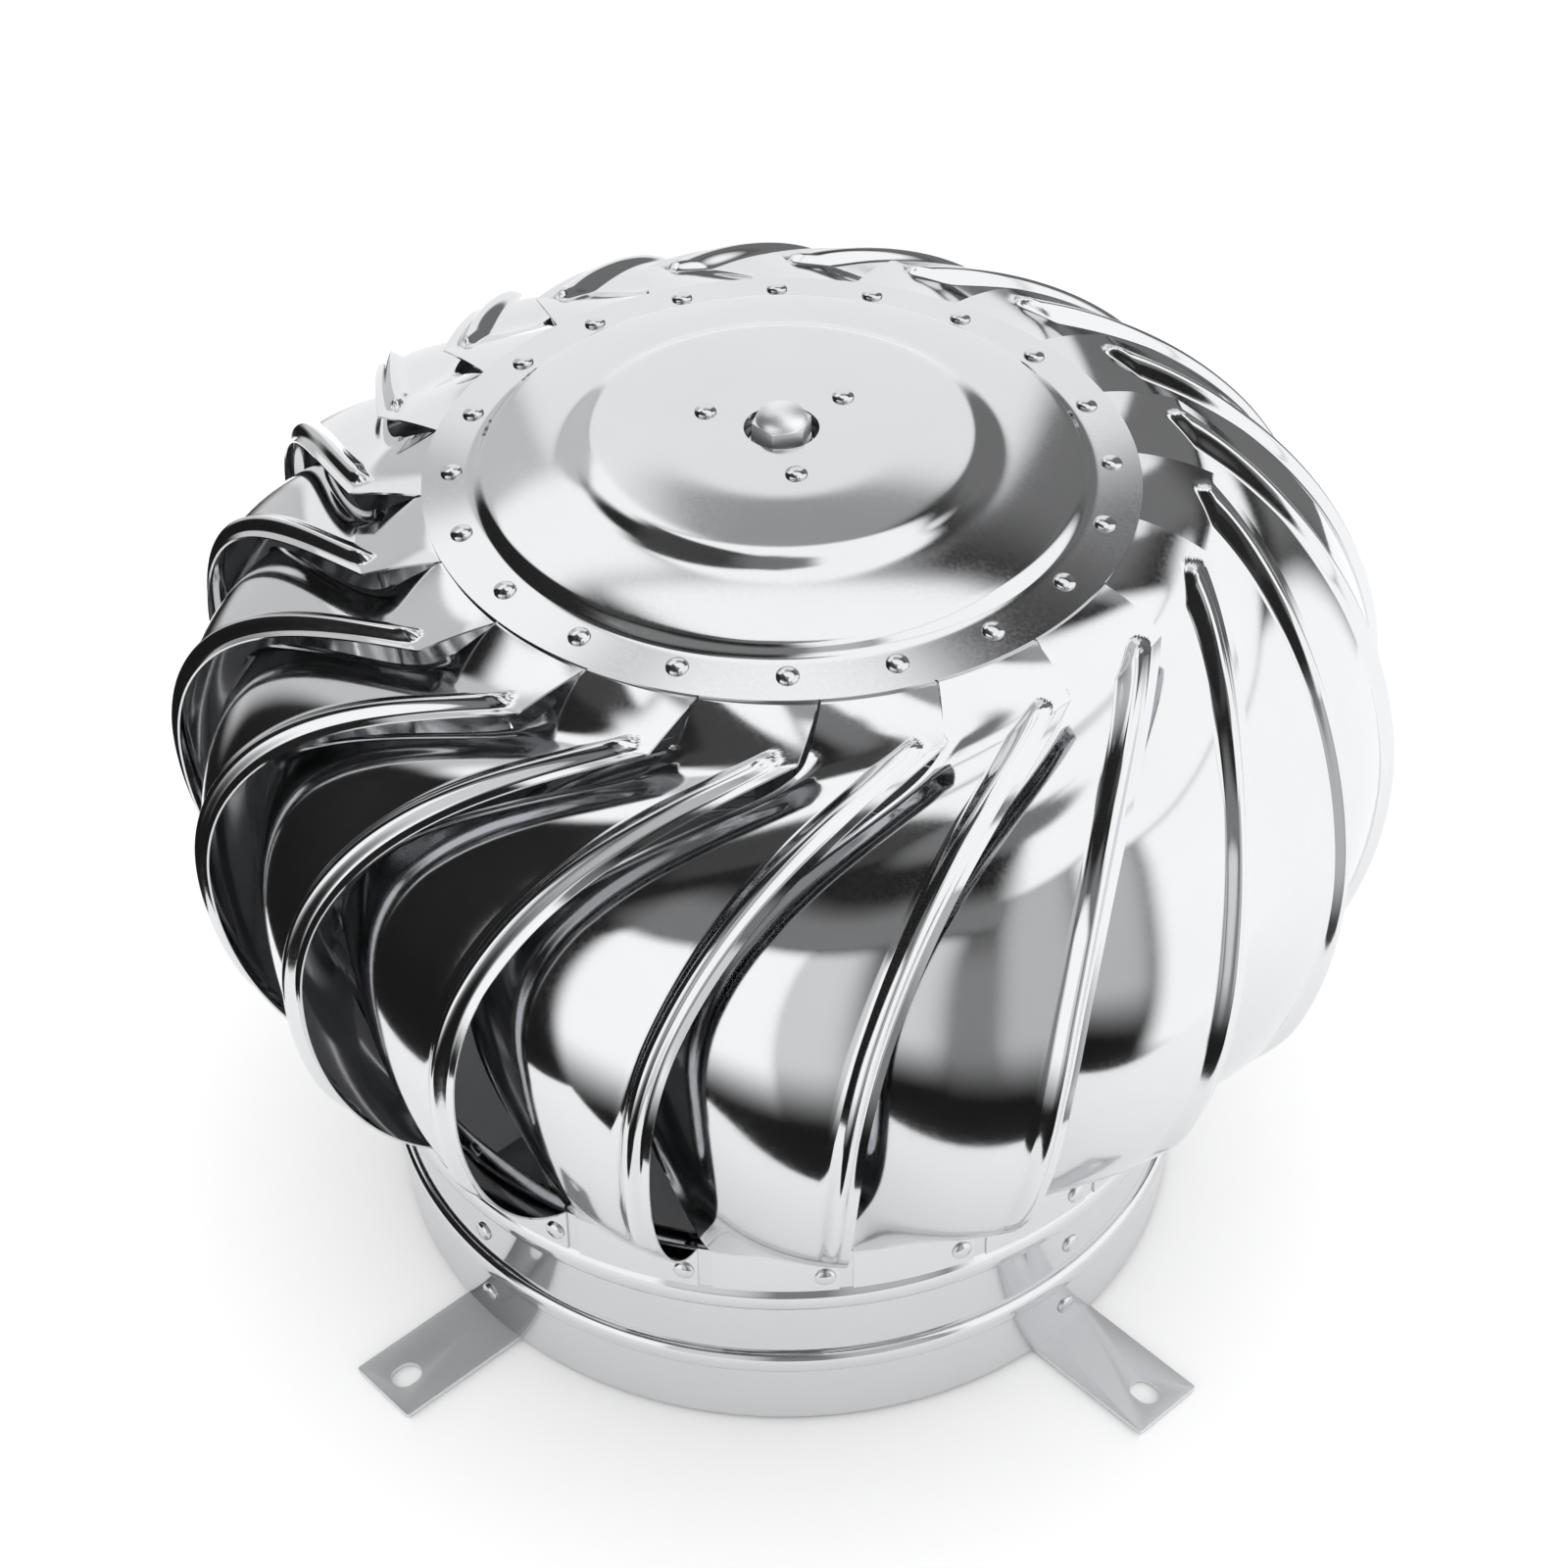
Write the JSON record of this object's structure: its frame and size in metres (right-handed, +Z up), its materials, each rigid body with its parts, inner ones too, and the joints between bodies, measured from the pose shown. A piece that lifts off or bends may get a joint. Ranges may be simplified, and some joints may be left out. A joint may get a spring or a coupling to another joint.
{
  "type": "chimney cowl",
  "caption": "Wind-driven chimney cowl: a domed rotor of curved sheet-steel vanes spins on a central spindle above a beaded collar with slotted mounting straps.",
  "frame": {"origin": "centre of the underside of the mounting straps, on the rotor's axis", "axes": "+Z up along the rotor's axis; the four mounting straps point along +X, +Y, -X and -Y"},
  "size_m": [0.3586, 0.3586, 0.2836],
  "materials": {
    "collar_steel": "bright rolled stainless sheet",
    "vane_steel": "mirror-polished stainless sheet",
    "strap_steel": "satin stainless flat strip",
    "rivet_steel": "bright steel rivets",
    "frame_steel": "plain zinc-grey steel strip and fasteners",
    "turned_steel": "turned steel",
    "bearing_steel": "ground bearing steel",
    "cage_brass": "pressed brass"
  },
  "bodies": {
    "mount": {"base_collar": "collar_steel", "strap_front": "strap_steel", "strap_right": "strap_steel", "strap_back": "strap_steel", "strap_left": "strap_steel", "strap_rivets": "rivet_steel", "cross_bar_lower": "frame_steel", "cross_bar_upper": "frame_steel", "clamp_plate_lower": "frame_steel", "clamp_plate_upper": "frame_steel", "clamp_bolts": "frame_steel", "clamp_nuts": "frame_steel", "spindle": "turned_steel", "spindle_washer": "frame_steel", "spindle_nut": "frame_steel", "bearing_inner_rings": "bearing_steel", "inner_spacer": "turned_steel", "cap_washer": "frame_steel", "spindle_cap": "turned_steel"},
    "rotor": {"bearing_outer_rings": "bearing_steel", "bearing_shields": "bearing_steel", "outer_spacer": "turned_steel", "bearing_housing": "turned_steel", "housing_circlip": "turned_steel", "hub_rivets": "rivet_steel", "top_plate": "vane_steel", "vane_rivets": "rivet_steel", "bottom_ring": "collar_steel", "tab_rivets": "rivet_steel", "vane_01": "vane_steel", "vane_02": "vane_steel", "vane_03": "vane_steel", "vane_04": "vane_steel", "vane_05": "vane_steel", "vane_06": "vane_steel", "vane_07": "vane_steel", "vane_08": "vane_steel", "vane_09": "vane_steel", "vane_10": "vane_steel", "vane_11": "vane_steel", "vane_12": "vane_steel", "vane_13": "vane_steel", "vane_14": "vane_steel", "vane_15": "vane_steel", "vane_16": "vane_steel", "vane_17": "vane_steel", "vane_18": "vane_steel", "vane_19": "vane_steel", "vane_20": "vane_steel"},
    "bearing_cage": {"bearing_balls": "bearing_steel", "bearing_cages": "cage_brass"}
  },
  "joints": [
    {"name": "rotor_spin", "type": "hinge", "parent": "mount", "child": "rotor", "pos_m": [0, 0, 0.2446], "axis": [0, 0, 1], "continuous": true},
    {"name": "cage_roll", "type": "hinge", "parent": "mount", "child": "bearing_cage", "pos_m": [0, 0, 0.2446], "axis": [0, 0, 1], "continuous": true}
  ],
  "couplings": [
    {"joint": "cage_roll", "follows": "rotor_spin", "ratio": 0.63636}
  ]
}
